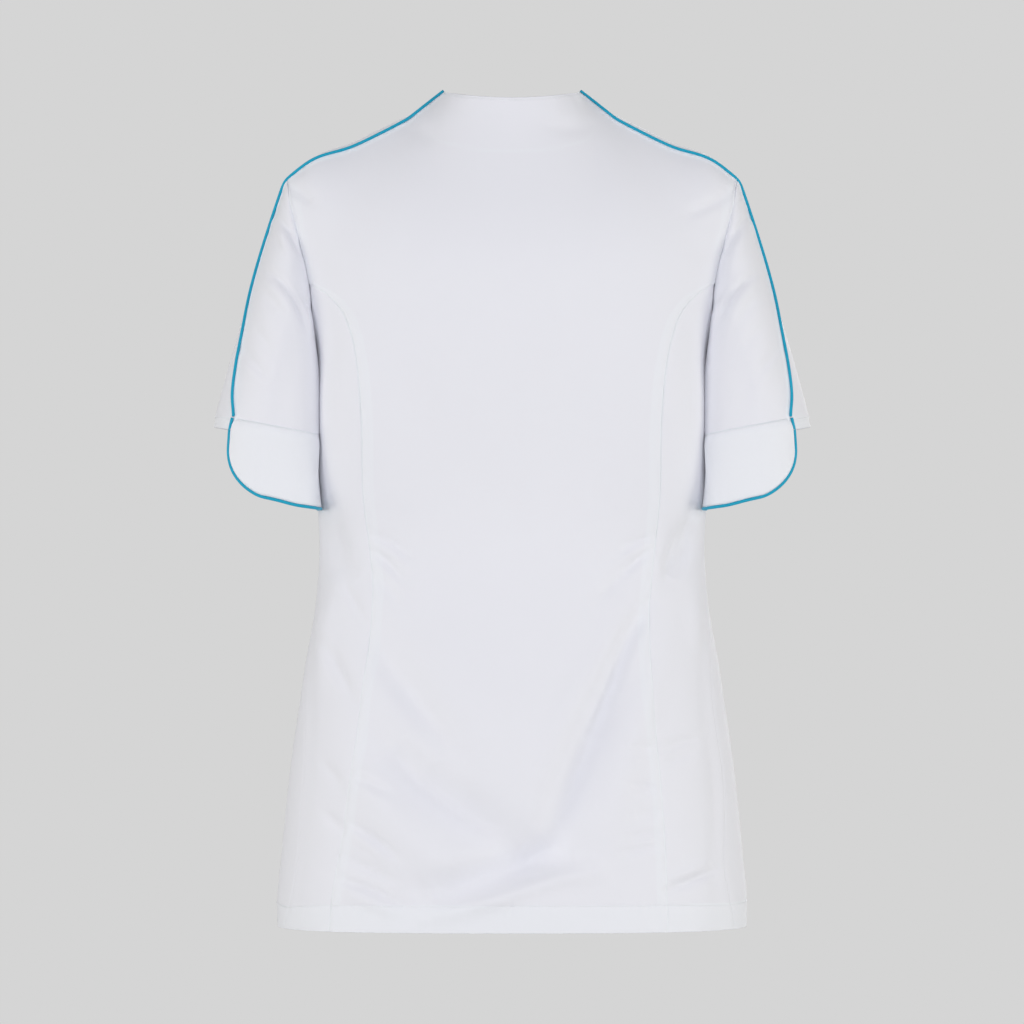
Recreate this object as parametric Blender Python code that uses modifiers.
"""Short-sleeved women's work tunic, filled out as it is worn.

The wearer would face -Y, so the back of the tunic faces +Y, the wearer's left is +X and +Z is up.
The origin is on the centre plane at the height of the neck's base, where the shoulders hold the tunic.
All sizes and tables are in millimetres, and each mesh is scaled to metres as it is made.
A turn is an angle round a hollow piece in degrees. Round the body it runs from 0 at the centre back
through 90 at the side to 180 at the centre front. Round a sleeve it runs from 0 at the outer arm
through 90 at the back to 180 under the arm, and the front of the sleeve has negative turns.
"""

import math
from collections import namedtuple

import bpy
import numpy as np

MM = 0.001
WALL = 1.5
SEAM_GAP = 0.3
PIPING_RADIUS = 1.3
PIPING_SIDES = 2

HEM_HEIGHT = -708.0
HEM_LIFT = 3.0
BLADE_HEIGHT = -146.0
UNDERARM_HEIGHT = -205.0

Section = namedtuple("Section", "height half_width back front back_fullness front_fullness")
SECTIONS = (
    Section(-712, 205.3, 131, 124, 2.2, 2.2),
    Section(-686, 206.2, 131, 123, 2.2, 2.2),
    Section(-648, 202.3, 129, 121, 2.2, 2.2),
    Section(-609, 198.8, 127, 119, 2.2, 2.2),
    Section(-556, 192.7, 122, 116, 2.2, 2.2),
    Section(-514, 186.4, 114, 112, 2.2, 2.2),
    Section(-473, 180.3, 103, 108, 2.2, 2.2),
    Section(-436, 173.2, 93, 104, 2.2, 2.2),
    Section(-403, 169.8, 85, 101, 2.2, 2.2),
    Section(-368, 168.6, 80, 101, 2.2, 2.3),
    Section(-343, 170.4, 81, 104, 2.7, 2.3),
    Section(-300, 170.6, 88, 118, 3.6, 2.5),
    Section(-250, 170.8, 97, 132, 4.0, 2.7),
    Section(-205, 171.0, 104, 131, 3.2, 2.6),
    Section(-175, 180.0, 106, 122, 2.5, 2.4),
    Section(-146, 190.0, 105, 112, 2.2, 2.2),
)

# Where the seams cross each height: the princess seams by their distance from the centre plane,
# and the side seams by how far they lie behind the widest line.
BackSeam = namedtuple("BackSeam", "height left right")
BACK_PRINCESS = (
    BackSeam(-712, 157.5, 134.0),
    BackSeam(-676, 154.5, 133.0),
    BackSeam(-629, 146.7, 131.4),
    BackSeam(-570, 138.0, 127.0),
    BackSeam(-512, 130.7, 121.0),
    BackSeam(-453, 123.6, 118.7),
    BackSeam(-414, 120.4, 120.0),
    BackSeam(-378, 123.2, 123.5),
    BackSeam(-338, 128.0, 127.2),
    BackSeam(-257, 130.0, 129.0),
    BackSeam(-218, 133.3, 132.8),
    BackSeam(-190, 138.8, 138.8),
    BackSeam(-170, 147.5, 147.5),
    BackSeam(-155, 162.0, 162.0),
    BackSeam(-146, 177.0, 177.0),
)
FrontSeam = namedtuple("FrontSeam", "height offset")
FRONT_PRINCESS = (
    FrontSeam(-712, 112),
    FrontSeam(-600, 106),
    FrontSeam(-480, 94),
    FrontSeam(-380, 86),
    FrontSeam(-300, 88),
    FrontSeam(-235, 96),
    FrontSeam(-195, 110),
    FrontSeam(-170, 130),
    FrontSeam(-155, 148),
    FrontSeam(-146, 166),
)
SideSeam = namedtuple("SideSeam", "height left right")
SIDE_SEAM = (
    SideSeam(-712, 38, 50),
    SideSeam(-690, 52, 57),
    SideSeam(-650, 58, 62),
    SideSeam(-610, 56, 54),
    SideSeam(-570, 53, 49),
    SideSeam(-540, 46, 48),
    SideSeam(-505, 29, 44),
    SideSeam(-470, 20, 33),
    SideSeam(-430, 12, 22),
    SideSeam(-370, 5, 8),
    SideSeam(-300, 0, 0),
    SideSeam(-205, 0, 0),
)
# The lower part of each armhole, from the princess seam down to the underarm, by its half-width.
ArmholeRow = namedtuple("ArmholeRow", "height back front")
LOWER_ARMHOLE = (
    ArmholeRow(-205, 171.0, 171.0),
    ArmholeRow(-201, 171.4, 170.0),
    ArmholeRow(-185, 172.5, 166.5),
    ArmholeRow(-168, 174.4, 165.0),
    ArmholeRow(-146, 177.0, 166.0),
)

# The upper edges. A row's share is the column it stands on, of the columns from the centre to the
# armhole, and rise and heading are the way the cloth runs there: up, and inward from straight ahead.
Edge = namedtuple("Edge", "share x y z rise heading")
BACK_NECK = (
    Edge(0.000, 0, 57.0, 14.5, 80, 0),
    Edge(0.125, 21, 54.0, 15.5, 78, 12),
    Edge(0.250, 42, 41.0, 18.3, 68, 30),
    Edge(0.3125, 52.5, 25.0, 20.8, 54, 42),
    Edge(0.375, 58.8, -1.0, 23.0, 34, 32),
)
SHOULDER = (
    Edge(0.500, 90.0, 14.0, -2.6, 36, 4),
    Edge(0.625, 115.0, 18.0, -15.8, 40, 0),
    Edge(0.750, 141.3, 20.0, -28.2, 40, 0),
    Edge(0.875, 172.0, 19.0, -37.8, 36, 0),
    Edge(1.000, 197.2, 13.0, -56.0, 26, 0),
)
FRONT_NECK = (
    Edge(0.000, -17, -107.0, -124.0, 78, 0),
    Edge(0.125, 8, -102.0, -86.0, 76, 2),
    Edge(0.250, 33, -83.0, -44.0, 70, 6),
    Edge(0.3125, 47, -54.0, -9.0, 62, 16),
    Edge(0.375, 58.8, -1.0, 23.0, 34, 32),
)
OVERLAP = 17.0
NECK_SIDE_SHARE = 0.3125
STAND_SHARE = 0.375
NECK_EASE = 0.6
KINK_SHARE = 0.5

# Four rings steer a sleeve: it leaves the armhole, leans past two guides and ends at its hem.
# Each ring has its outer-arm and underarm points and how far it swells to the back and the front.
Ring = namedtuple("Ring", "over_x over_z under_x under_z back front")
UPPER_GUIDE = Ring(211.0, -92.0, 173.8, -233.0, 66, 66)
LOWER_GUIDE = Ring(244.8, -198.0, 174.6, -261.0, 62, 62)
SLEEVE_HEM = Ring(262.8, -270.5, 175.6, -289.0, 59, 59)
CUFF_EDGE = Ring(266.6, -327.0, 175.4, -340.5, 59, 59)
# The half of a ring that hangs against the body is squarer than an oval, whose fullness is 2.
UNDERARM_FULLNESS = 4.4

# How far round to the back the overarm seam has moved at each share of the sleeve's length.
OverarmRow = namedtuple("OverarmRow", "share turn")
OVERARM_SEAM = (
    OverarmRow(0.00, 0),
    OverarmRow(0.30, 6),
    OverarmRow(0.50, 18),
    OverarmRow(0.62, 29),
    OverarmRow(0.75, 36.5),
    OverarmRow(0.86, 44),
    OverarmRow(0.942, 53),
    OverarmRow(1.00, 53),
)
BLADE_TURN = 110.0
LAP_START, LAP_END = 60.0, 125.0
SLEEVE_LAP = 2.0

CUFF_LAP = 10.5
CUFF_TURN = 53.0
CUFF_CORNER_TURN = 60.0
CUFF_STRAIGHT = 0.40

BUTTON_COUNT = 6
BUTTON_TOP, BUTTON_BOTTOM = -136.0, -560.0
BUTTON_RADIUS, BUTTON_DEPTH = 7.5, 2.6
BUTTON_RIM, BUTTON_DISH = 1.8, 0.8
BUTTON_SEAT = 0.8
BUTTON_SIDES = 20

# How finely each grid is divided, and how its rows crowd together towards the upper edge.
LOWER_ROWS, LOWER_CROWDING = 21, 1.3
UPPER_ROWS, UPPER_CROWDING = 7, 1.25
CENTRE_COLUMNS = 8
SIDE_COLUMNS = 4
SLEEVE_ROWS = 11
CUFF_CORNER_COLUMNS, CUFF_LEVEL_COLUMNS, CUFF_ROWS = 6, 10, 4

# Large soft folds of the body, as ridges and troughs between two points of the back or front seen
# straight on. A positive height stands proud, and the fold fades out over its width and at its ends.
Fold = namedtuple("Fold", "x0 z0 x1 z1 width height")
BACK_FOLDS = (
    Fold(-112, -425, -52, -600, 24, -4.0),
    Fold(-85, -425, -20, -600, 30, 3.0),
    Fold(-52, -600, 30, -668, 26, -3.5),
    Fold(-40, -560, 60, -640, 40, 2.5),
    Fold(124, -375, 72, -500, 26, -2.8),
    Fold(152, -360, 134, -455, 16, -3.0),
    Fold(-150, -365, -138, -430, 16, -3.0),
    Fold(160, -480, 146, -515, 14, -2.2),
)
FRONT_FOLDS = (
    Fold(110, -270, 40, -370, 26, -3.0),
    Fold(-110, -270, -40, -370, 26, -3.0),
    Fold(95, -400, 40, -560, 28, -3.0),
    Fold(-95, -400, -36, -590, 30, -3.2),
    Fold(168, -350, 130, -450, 18, -2.5),
    Fold(-168, -350, -130, -450, 18, -2.5),
)

SLEEVE_FOLDS = (
    Fold(208, -136, 181, -190, 8, -3.0),
    Fold(226, -195, 205, -235, 10, -1.8),
)
ARMHOLE_CENTRE = np.array([184.0, 0.0, -130.0])
BODY_CENTRE = np.array([0, 0, -400.0])

# How far the pieces stand apart or off the middle of the cloth they lie on.
ARMHOLE_GAP = 1.3
STAND_GAP = 0.5
SIDE_GAP = 0.25
PIPING_SEAT = 0.4
CUFF_STANDOFF = 2.5
UNDERLAY, UNDERLAY_FADE = 2.8, 24.0
# How far off a line the points lie that show which way the cloth runs there.
BESIDE_SHARE, BESIDE_TURN, BESIDE_DROP = 0.04, 4.0, 2.0

# Colour and roughness of each finish.
WHITE = ((0.80, 0.80, 0.85), 0.85)
TURQUOISE = ((0.0, 0.33, 0.52), 0.6)
BUTTON_FINISH = ((0.85, 0.85, 0.87), 0.35)


def smooth(rows, key, name, at):
    """Value of one named column of a table, on a smooth curve through its rows."""
    keys = np.array([getattr(row, key) for row in rows], float)
    values = np.array([getattr(row, name) for row in rows], float)
    slopes = np.gradient(values, keys)
    at = np.clip(np.asarray(at, float), keys[0], keys[-1])
    i = np.clip(np.searchsorted(keys, at) - 1, 0, len(keys) - 2)
    step = keys[i + 1] - keys[i]
    t = (at - keys[i]) / step
    start = (2 * t**3 - 3 * t**2 + 1) * values[i] + (t**3 - 2 * t**2 + t) * step * slopes[i]
    end = (3 * t**2 - 2 * t**3) * values[i + 1] + (t**3 - t**2) * step * slopes[i + 1]
    return start + end


def unit(vectors):
    return vectors / np.linalg.norm(vectors, axis=-1, keepdims=True)


def body_axes(height, front):
    """Half-width, depth and fullness of the body's section at each height, on the back or the front."""
    half_width = smooth(SECTIONS, "height", "half_width", height)
    depth = np.where(
        front,
        smooth(SECTIONS, "height", "front", height),
        smooth(SECTIONS, "height", "back", height),
    )
    fullness = np.where(
        front,
        smooth(SECTIONS, "height", "front_fullness", height),
        smooth(SECTIONS, "height", "back_fullness", height),
    )
    return half_width, depth, fullness


def turn_at_width(x, height, front):
    """Turn of the point of a section that lies x from the centre plane."""
    half_width, _, fullness = body_axes(height, front)
    share = np.clip(np.abs(x) / half_width, 0, 1) ** (fullness / 2)
    angle = np.degrees(np.arcsin(share)) * np.sign(x)
    return np.where(front, 180 - angle, angle)


def turn_behind(behind, height):
    """Turn of the point of a section that lies a given depth behind the widest line."""
    _, depth, fullness = body_axes(height, False)
    share = np.clip(behind / depth, 0, 1) ** (fullness / 2)
    return 90 - np.degrees(np.arcsin(share))


def fold_height(x, z, folds):
    """Height of all the folds at each point of the back or the front."""
    total = np.zeros(np.shape(x))
    for fold in folds:
        along = np.array([fold.x1 - fold.x0, fold.z1 - fold.z0], float)
        length = np.linalg.norm(along)
        along /= length
        run = (x - fold.x0) * along[0] + (z - fold.z0) * along[1]
        away = (x - fold.x0) * -along[1] + (z - fold.z0) * along[0]
        past = np.maximum(np.maximum(-run, run - length), 0)
        total += fold.height * np.exp(-((away / fold.width) ** 2) - (past / fold.width) ** 2)
    return total


def body_point(side, turn, height):
    """Points on the middle of the cloth below the shoulder blades, on the side +1 or -1."""
    turn, height = np.broadcast_arrays(np.asarray(turn, float), np.asarray(height, float))
    front = turn > 90
    half_width, depth, fullness = body_axes(height, front)
    sine, cosine = np.sin(np.radians(turn)), np.cos(np.radians(turn))
    x = side * half_width * np.sign(sine) * np.abs(sine) ** (2 / fullness)
    y = depth * np.sign(cosine) * np.abs(cosine) ** (2 / fullness)
    out_x = np.sign(x) * np.abs(x / half_width) ** (fullness - 1) / half_width
    out_y = np.sign(y) * np.abs(y / depth) ** (fullness - 1) / depth
    out = unit(np.stack([out_x, out_y, np.zeros_like(out_x)], axis=-1))
    fold = np.where(front, fold_height(x, height, FRONT_FOLDS), fold_height(x, height, BACK_FOLDS))
    low = np.clip((BLADE_HEIGHT - height) / (BLADE_HEIGHT - HEM_HEIGHT), 0, 1)
    level = height + HEM_LIFT * cosine**2 * low**3
    return np.stack([x, y, level], axis=-1) + out * fold[..., None]


def edge_point(share, neck_rows):
    """Points and running directions of the upper edge: neck, side of the stand, then shoulder."""
    share = np.asarray(share, float)
    values = []
    for name in ("x", "y", "z", "rise", "heading"):
        neck = smooth(neck_rows, "share", name, share)
        shoulder = smooth(SHOULDER, "share", name, share)
        corner = getattr(neck_rows[-1], name)
        kink = getattr(SHOULDER[0], name)
        stand = corner + (kink - corner) * (share - STAND_SHARE) / (KINK_SHARE - STAND_SHARE)
        values.append(np.where(share <= STAND_SHARE, neck, np.where(share < KINK_SHARE, stand, shoulder)))
    x, y, z, rise, heading = values
    point = np.stack([x, y, z], axis=-1)
    rise, heading = np.radians(rise), np.radians(heading)
    flat = np.cos(rise)
    forward = np.stack([-flat * np.sin(heading), -flat * np.cos(heading), np.sin(rise)], axis=-1)
    return point, forward


def centre_turns(side, height, front):
    """Turns of a centre panel's two edges: the centre back or the buttoning edge, then the princess seam."""
    if front:
        seam = smooth(FRONT_PRINCESS, "height", "offset", height)
        return turn_at_width(-OVERLAP, height, True), turn_at_width(seam, height, True)
    seam = smooth(BACK_PRINCESS, "height", "left" if side > 0 else "right", height)
    return np.zeros_like(seam), turn_at_width(seam, height, False)


def yoke_point(side, share, lift, front):
    """Points of the body above the shoulder blades: columns rise from the section there to the edge."""
    share, lift = np.broadcast_arrays(np.asarray(share, float), np.asarray(lift, float))
    if front:
        edge, forward = edge_point(share, FRONT_NECK)
        # At the shoulder seam the front runs back and down, so its direction is turned round there.
        blend = np.clip((share - NECK_SIDE_SHARE) / (KINK_SHARE - NECK_SIDE_SHARE), 0, 1)[..., None]
        neck_way = forward * np.array([1, -1, 1])
        forward = unit(neck_way * (1 - blend) - forward * blend)
    else:
        edge, forward = edge_point(share, BACK_NECK)
    inner, outer = centre_turns(side, BLADE_HEIGHT, front)
    turn = inner + (outer - inner) * share
    foot = body_point(1, turn, BLADE_HEIGHT)
    below = body_point(1, turn, BLADE_HEIGHT - BESIDE_DROP)
    start = unit(foot - below)
    reach = np.linalg.norm(edge - foot, axis=-1, keepdims=True)
    ease = np.where(share < STAND_SHARE, NECK_EASE, 1.0) if front else np.ones_like(share)
    forward = forward * ease[..., None]
    t = lift[..., None]
    point = (
        (2 * t**3 - 3 * t**2 + 1) * foot
        + (t**3 - 2 * t**2 + t) * reach * start
        + (3 * t**2 - 2 * t**3) * edge
        + (t**3 - t**2) * reach * forward
    )
    return point * np.array([side, 1, 1])


def lower_armhole_point(side, share, front):
    """Points and turns of the armhole below the shoulder blades, from the princess to the side seam."""
    share = np.asarray(share, float)
    height = BLADE_HEIGHT + (UNDERARM_HEIGHT - BLADE_HEIGHT) * np.sin(np.radians(90 * share))
    column = "front" if front else "back"
    turn = turn_at_width(smooth(LOWER_ARMHOLE, "height", column, height), height, front)
    lowest = turn_at_width(smooth(LOWER_ARMHOLE, "height", column, UNDERARM_HEIGHT), UNDERARM_HEIGHT, front)
    turn = turn + (side_seam_turn(side, UNDERARM_HEIGHT) - lowest) * share**3
    return body_point(side, turn, height), turn, height


def armhole_point(side, turn):
    """Points of the whole armhole at each turn of the sleeve that is set into it."""
    reach = np.abs(turn)
    lift = np.clip(1 - reach / BLADE_TURN, 0, 1)
    low = np.clip((reach - BLADE_TURN) / (180 - BLADE_TURN), 0, 1)
    points = []
    for front in (False, True):
        upper = yoke_point(side, np.ones_like(lift), lift, front)
        lower = lower_armhole_point(side, low, front)[0]
        points.append(np.where((reach <= BLADE_TURN)[..., None], upper, lower))
    return np.where((turn >= 0)[..., None], points[0], points[1])


def ring_point(side, ring, turn):
    """Points of one of the sleeve's rings, and the ring's centre."""
    sine, cosine = np.sin(np.radians(turn)), np.cos(np.radians(turn))
    centre = np.array([ring.over_x + ring.under_x, 0, ring.over_z + ring.under_z]) / 2
    outward = np.array([ring.over_x - ring.under_x, 0, ring.over_z - ring.under_z]) / 2
    fullness = np.where(cosine < 0, UNDERARM_FULLNESS, 2.0)
    across = np.sign(cosine) * np.abs(cosine) ** (2 / fullness)
    swell = np.where(turn >= 0, ring.back, ring.front) * np.sign(sine) * np.abs(sine) ** (2 / fullness)
    point = centre + across[..., None] * outward
    point[..., 1] += swell
    flip = np.array([side, 1, 1])
    return point * flip, centre * flip


def sleeve_point(side, turn, share):
    """Points on the middle of the sleeve's cloth, from the armhole at share 0 to the hem at 1."""
    turn, share = np.broadcast_arrays(np.asarray(turn, float), np.asarray(share, float))
    lap = np.clip((np.abs(turn) - LAP_START) / (LAP_END - LAP_START), 0, 1)
    start = armhole_point(side, turn)
    start[..., 0] += side * SLEEVE_LAP * lap**2 * (3 - 2 * lap)
    weights = ((1 - share) ** 3, 3 * share * (1 - share) ** 2, 3 * share**2 * (1 - share), share**3)
    point = weights[0][..., None] * start
    middle = weights[0][..., None] * ARMHOLE_CENTRE * np.array([side, 1, 1])
    for weight, ring in zip(weights[1:], (UPPER_GUIDE, LOWER_GUIDE, SLEEVE_HEM)):
        ring_at, centre = ring_point(side, ring, turn)
        point = point + weight[..., None] * ring_at
        middle = middle + weight[..., None] * centre
    fold = fold_height(np.abs(point[..., 0]), point[..., 2], SLEEVE_FOLDS) * np.sin(np.pi * share)
    return point + unit(point - middle) * fold[..., None]


def hem_speed(side, turn):
    """Millimetres of cloth along the sleeve for each unit of share, at its hem."""
    step = 0.01
    hem, above = sleeve_point(side, turn, 1.0), sleeve_point(side, turn, 1 - step)
    return np.linalg.norm(hem - above, axis=-1) / step


def sleeve_turns(share, front):
    """Turns of a sleeve piece's two edges at each share of its length: overarm seam, then underarm."""
    seam = smooth(OVERARM_SEAM, "share", "turn", share)
    return seam, np.full_like(seam, -180.0 if front else 180.0)


def cuff_point(side, turn, drop):
    """Points on the middle of the cuff's cloth, from its top edge at drop 0 to its lower edge at 1."""
    turn, drop = np.broadcast_arrays(np.asarray(turn, float), np.asarray(drop, float))
    turn = np.where(turn > 180, turn - 360, turn)
    hem = sleeve_point(side, turn, np.ones_like(turn))
    edge, _ = ring_point(side, CUFF_EDGE, turn)
    free = np.linalg.norm(edge - hem, axis=-1)
    depth = drop * (CUFF_LAP + free)
    above = CUFF_LAP - np.minimum(depth, CUFF_LAP)
    lapped = sleeve_point(side, turn, 1 - above / hem_speed(side, turn))
    hanging = hem + (edge - hem) * ((depth - CUFF_LAP) / free)[..., None]
    point = np.where((depth < CUFF_LAP)[..., None], lapped, hanging)
    _, hem_centre = ring_point(side, SLEEVE_HEM, turn)
    outward = unit(hem - hem_centre)
    return point + outward * CUFF_STANDOFF


def cuff_outline():
    """Turn and lower drop of each column of the cuff, with a rounded corner at both ends."""
    swing = np.radians(np.linspace(0, 90, CUFF_CORNER_COLUMNS + 1))
    corner_turn = CUFF_TURN + CUFF_CORNER_TURN * (1 - np.cos(swing))
    corner_drop = CUFF_STRAIGHT + (1 - CUFF_STRAIGHT) * np.sin(swing)
    level = np.linspace(corner_turn[-1], 360 - corner_turn[-1], CUFF_LEVEL_COLUMNS + 1)[1:-1]
    turn = np.concatenate([corner_turn, level, 360 - corner_turn[::-1]])
    drop = np.concatenate([corner_drop, np.ones_like(level), corner_drop[::-1]])
    return turn, drop


def inset(grid, rows=(0, 0), columns=(0, 0)):
    """The grid with each edge moved inward along the cloth, which leaves the gaps at the seams."""
    grid = grid.copy()
    for edge, beside, distance in ((0, 1, rows[0]), (-1, -2, rows[1])):
        if distance:
            grid[edge] += unit(grid[beside] - grid[edge]) * distance
    for edge, beside, distance in ((0, 1, columns[0]), (-1, -2, columns[1])):
        if distance:
            grid[:, edge] += unit(grid[:, beside] - grid[:, edge]) * distance
    return grid


def lower_rise():
    """Shares of the way from the hem to the armhole at which a body panel has its rows."""
    return 1 - np.linspace(1, 0, LOWER_ROWS + 1) ** LOWER_CROWDING


def yoke_lifts():
    """Shares of the way from the shoulder blades to the upper edge at which it has its rows."""
    return 1 - np.linspace(1, 0, UPPER_ROWS + 1) ** UPPER_CROWDING


def centre_grid(side, front):
    """Grid of one half of the centre panel, rows from the hem to the neck and shoulder."""
    share = np.linspace(0, 1, CENTRE_COLUMNS + 1)
    height = HEM_HEIGHT + (BLADE_HEIGHT - HEM_HEIGHT) * lower_rise()[:, None]
    inner, outer = centre_turns(side, height, front)
    lower = body_point(side, inner + (outer - inner) * share, height)
    upper = yoke_point(side, share, yoke_lifts()[1:, None], front)
    return np.concatenate([lower, upper])


def side_grid(side, front):
    """Grid of a side panel, rows from the hem to the armhole, columns from princess to side seam."""
    share = np.linspace(0, 1, SIDE_COLUMNS + 1)
    rise = lower_rise()[:, None]
    _, top_turn, top_height = lower_armhole_point(side, share, front)
    _, princess = centre_turns(side, top_height, front)
    seam = side_seam_turn(side, top_height)
    top_share = (top_turn - princess) / (seam - princess)
    height = HEM_HEIGHT + rise * (top_height - HEM_HEIGHT)
    _, princess = centre_turns(side, height, front)
    seam = side_seam_turn(side, height)
    across = share + (top_share - share) * rise**3
    return body_point(side, princess + (seam - princess) * across, height)


def side_seam_turn(side, height):
    behind = smooth(SIDE_SEAM, "height", "left" if side > 0 else "right", height)
    return turn_behind(behind, height)


def sleeve_grid(side, front):
    """Grid of half a sleeve, rows from the armhole to the hem, columns from overarm to underarm."""
    upper = (1 - yoke_lifts()[::-1]) * BLADE_TURN
    lower = np.linspace(BLADE_TURN, 180, SIDE_COLUMNS + 1)[1:]
    spread = np.concatenate([upper, lower]) / 180
    share = np.linspace(0, 1, SLEEVE_ROWS + 1)[:, None]
    inner, outer = sleeve_turns(share, front)
    return sleeve_point(side, inner + (outer - inner) * spread, share)


def cuff_grid(side):
    """Grid of a cuff, rows from its top edge to its lower edge, columns from the back end to the front."""
    turn, drop = cuff_outline()
    return cuff_point(side, turn, np.linspace(0, 1, CUFF_ROWS + 1)[:, None] * drop)


def grid_normals(grid, centre):
    """Unit directions that point away from the hollow, at each point of a grid."""
    normals = unit(np.cross(np.gradient(grid, axis=0), np.gradient(grid, axis=1)))
    outward = np.sum(normals * (grid - centre), axis=-1).mean() > 0
    return normals if outward else -normals


def material(name, colour, roughness):
    made = bpy.data.materials.new(name)
    made.use_nodes = True
    shader = made.node_tree.nodes["Principled BSDF"]
    shader.inputs["Base Color"].default_value = (*colour, 1)
    shader.inputs["Roughness"].default_value = roughness
    shader.inputs["Metallic"].default_value = 0
    return made


def add(name, data, finish):
    """Puts a mesh or curve into the tunic's collection as a named piece with its own material."""
    piece = bpy.data.objects.new(name, data)
    data.materials.append(material(name, *finish))
    tunic.objects.link(piece)
    return piece


def add_cloth(name, grid, finish):
    """A panel of cloth: an open surface through the grid, given the wall's thickness."""
    rows, columns = grid.shape[:2]
    faces = []
    for row in range(rows - 1):
        for column in range(columns - 1):
            corner = row * columns + column
            faces.append((corner, corner + 1, corner + columns + 1, corner + columns))
    mesh = bpy.data.meshes.new(name)
    mesh.from_pydata((grid.reshape(-1, 3) * MM).tolist(), [], faces)
    mesh.shade_smooth()
    piece = add(name, mesh, finish)
    wall = piece.modifiers.new("wall", "SOLIDIFY")
    wall.thickness = WALL * MM
    wall.offset = 0
    return piece


def add_piping(name, points, finish):
    """A round cord along the points."""
    curve = bpy.data.curves.new(name, "CURVE")
    curve.dimensions = "3D"
    curve.bevel_depth = PIPING_RADIUS * MM
    curve.bevel_resolution = PIPING_SIDES
    curve.use_fill_caps = True
    line = curve.splines.new("POLY")
    line.points.add(len(points) - 1)
    for knot, point in zip(line.points, points * MM):
        knot.co = (*point, 1)
    return add(name, curve, finish)


def add_body():
    gap = SEAM_GAP / 2
    halves = [centre_grid(side, False) for side in (-1, 1)]
    back = np.concatenate([halves[0][:, :0:-1], halves[1]], axis=1)
    back = inset(back, columns=(gap, gap))
    shares = np.linspace(0, 1, CENTRE_COLUMNS + 1)
    edge_gap = np.where(shares < STAND_SHARE, 0, np.where(shares < KINK_SHARE, STAND_GAP, gap))
    both_gaps = np.concatenate([edge_gap[:0:-1], edge_gap])[:, None]
    back[-1] += unit(back[-2] - back[-1]) * both_gaps
    add_cloth("back_centre", back, WHITE)
    for side, word in ((1, "left"), (-1, "right")):
        for front, half in ((False, "back"), (True, "front")):
            panel = inset(side_grid(side, front), (0, gap), (gap, SIDE_GAP))
            add_cloth(f"{half}_side_{word}", panel, WHITE)
        add_cloth(f"front_centre_{word}", front_centre(side), WHITE)


def front_centre(side):
    """Grid of a front with its seam edges set back, and the left one's buttoning edge tucked under."""
    grid = inset(centre_grid(side, True), columns=(0, SEAM_GAP / 2))
    shares = np.linspace(0, 1, CENTRE_COLUMNS + 1)
    edge_gap = np.where(shares < STAND_SHARE, 0, np.where(shares < KINK_SHARE, STAND_GAP, SEAM_GAP / 2))
    grid[-1] += unit(grid[-2] - grid[-1]) * edge_gap[:, None]
    return tucked_under(grid) if side > 0 else grid


def tucked_under(front):
    """The left front, with its buttoning edge set in so that it lies under the right front's."""
    fade = np.clip((front[..., 0] - OVERLAP) / UNDERLAY_FADE, 0, 1)
    depth = UNDERLAY * (1 - fade**2 * (3 - 2 * fade))
    return front - grid_normals(front, BODY_CENTRE) * depth[..., None]


def add_sleeves():
    gap = SEAM_GAP / 2
    for side, word in ((1, "left"), (-1, "right")):
        for front, half in ((False, "back"), (True, "front")):
            grid = inset(sleeve_grid(side, front), (ARMHOLE_GAP, 0), (gap, gap))
            add_cloth(f"sleeve_{half}_{word}", grid, WHITE)
        add_cloth(f"cuff_{word}", cuff_grid(side), WHITE)


def seam_piping_points(side):
    """The piping's middle line: neck edge, shoulder seam, overarm seam, to just above the cuff."""
    lift = WALL / 2 + PIPING_SEAT + PIPING_RADIUS
    share = np.linspace(0, 1, CENTRE_COLUMNS + 1)
    share = share[share >= STAND_SHARE]
    seam = yoke_point(side, share, 1.0, False)
    behind = yoke_point(side, share, 1.0 - BESIDE_SHARE, False)
    ahead = yoke_point(side, share, 1.0 - BESIDE_SHARE, True)
    across = unit(ahead - behind)
    along = unit(np.gradient(seam, axis=0))
    up = unit(np.cross(along, across))
    up *= np.sign(up[:, 2:])
    shoulder = seam + up * lift
    stop = 1 - (CUFF_LAP + PIPING_RADIUS) / hem_speed(side, CUFF_TURN)
    share = np.arange(1, SLEEVE_ROWS) / SLEEVE_ROWS
    share = np.append(share[share < stop], stop)
    turn = smooth(OVERARM_SEAM, "share", "turn", share)
    seam = sleeve_point(side, turn, share)
    behind = sleeve_point(side, turn + BESIDE_TURN, share)
    ahead = sleeve_point(side, turn - BESIDE_TURN, share)
    across = unit(behind - ahead)
    along = unit(np.gradient(seam, axis=0))
    out = unit(np.cross(along, across))
    out *= np.sign(out[:, :1]) * side
    return np.concatenate([shoulder, seam + out * lift])


def cuff_piping_points(side):
    """The piping's middle line, round the back end, the lower edge and the front end of a cuff."""
    grid = cuff_grid(side)
    edge = np.concatenate([grid[:, 0], grid[-1, 1:-1], grid[::-1, -1]])
    inner = np.concatenate([grid[:, 1], grid[-2, 1:-1], grid[::-1, -2]])
    along = unit(np.gradient(edge, axis=0))
    away = edge - inner
    away = unit(away - along * np.sum(away * along, axis=-1, keepdims=True))
    return edge + away * (SEAM_GAP + PIPING_RADIUS)


def add_piping_lines():
    for side, word in ((1, "left"), (-1, "right")):
        add_piping(f"seam_piping_{word}", seam_piping_points(side), TURQUOISE)
        add_piping(f"cuff_piping_{word}", cuff_piping_points(side), TURQUOISE)


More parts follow.
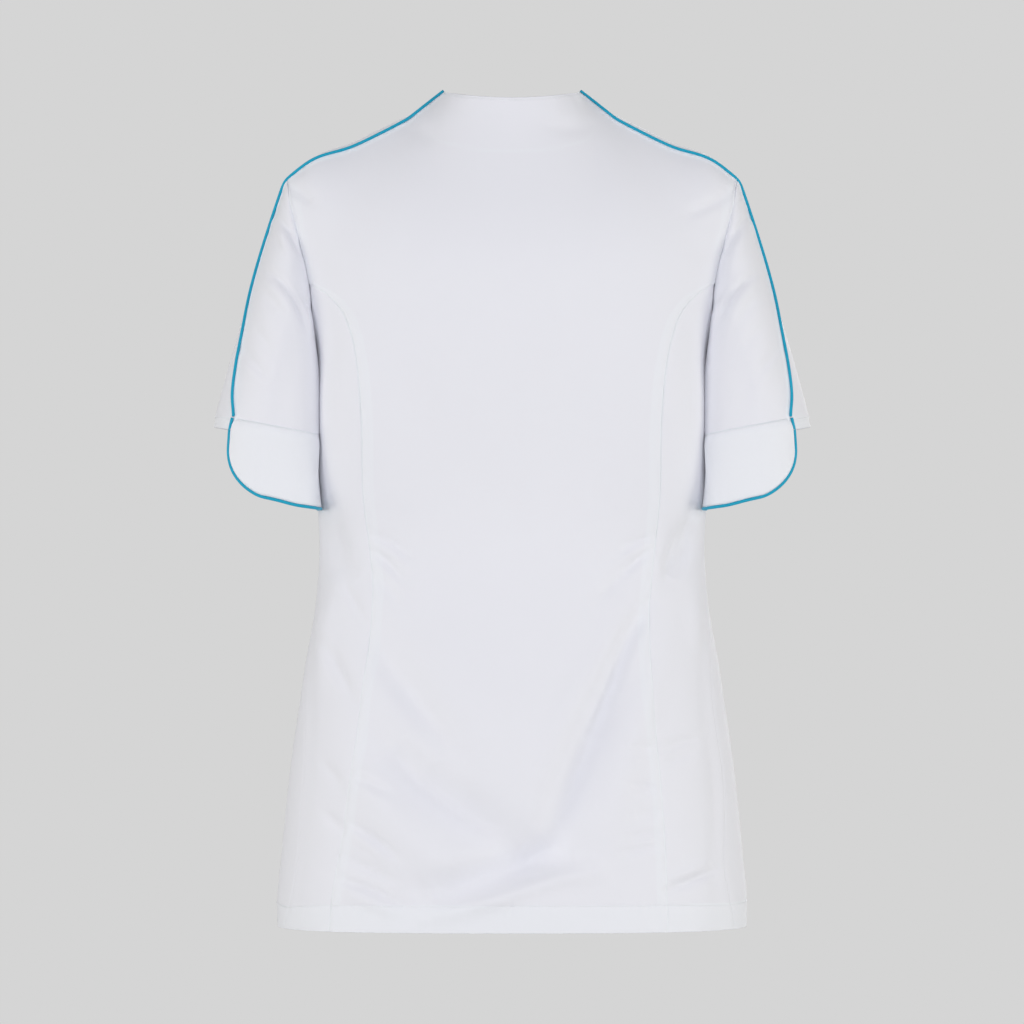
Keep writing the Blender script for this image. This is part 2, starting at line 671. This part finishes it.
def add_buttons():
    """Round buttons with a raised rim, on the right front's buttoning edge at the centre line."""
    placket = centre_line(front_centre(-1))
    for index, height in enumerate(np.linspace(BUTTON_TOP, BUTTON_BOTTOM, BUTTON_COUNT)):
        row = np.searchsorted(placket[:, 2], height)
        slope = placket[row] - placket[row - 1]
        point = placket[row - 1] + slope * (height - placket[row - 1, 2]) / slope[2]
        out = unit(np.array([0, -slope[2], slope[1]]))
        bpy.ops.mesh.primitive_cylinder_add(
            vertices=BUTTON_SIDES, radius=BUTTON_RADIUS * MM, depth=BUTTON_DEPTH * MM
        )
        button = bpy.context.object
        button.name = button.data.name = f"button_{index + 1}"
        bpy.ops.object.mode_set(mode="EDIT")
        bpy.ops.mesh.select_all(action="DESELECT")
        bpy.ops.object.mode_set(mode="OBJECT")
        top = max(button.data.polygons, key=lambda face: face.center.z)
        top.select = True
        bpy.ops.object.mode_set(mode="EDIT")
        bpy.ops.mesh.inset(thickness=BUTTON_RIM * MM)
        bpy.ops.mesh.inset(thickness=BUTTON_DISH * MM)
        bpy.ops.transform.translate(value=(0, 0, -BUTTON_DISH * MM))
        bpy.ops.object.mode_set(mode="OBJECT")
        button.data.materials.append(material(button.name, *BUTTON_FINISH))
        offset = WALL / 2 + BUTTON_SEAT + BUTTON_DEPTH / 2
        button.location = (point + out * offset) * MM
        button.rotation_euler = (math.atan2(-out[1], out[2]), 0, 0)
        for collection in list(button.users_collection):
            collection.objects.unlink(button)
        tunic.objects.link(button)


def centre_line(front):
    """Where the flat faces of a front cross the centre plane, from the hem to the neck."""
    crossings = []
    for row in front:
        after = int(np.argmax(row[:, 0] * row[0, 0] < 0))
        before, beyond = row[after - 1], row[after]
        crossings.append(before + (beyond - before) * before[0] / (before[0] - beyond[0]))
    return np.array(crossings)


for item in list(bpy.data.objects):
    bpy.data.objects.remove(item)
tunic = bpy.data.collections.new("work_tunic")
bpy.context.scene.collection.children.link(tunic)
add_body()
add_sleeves()
add_piping_lines()
add_buttons()
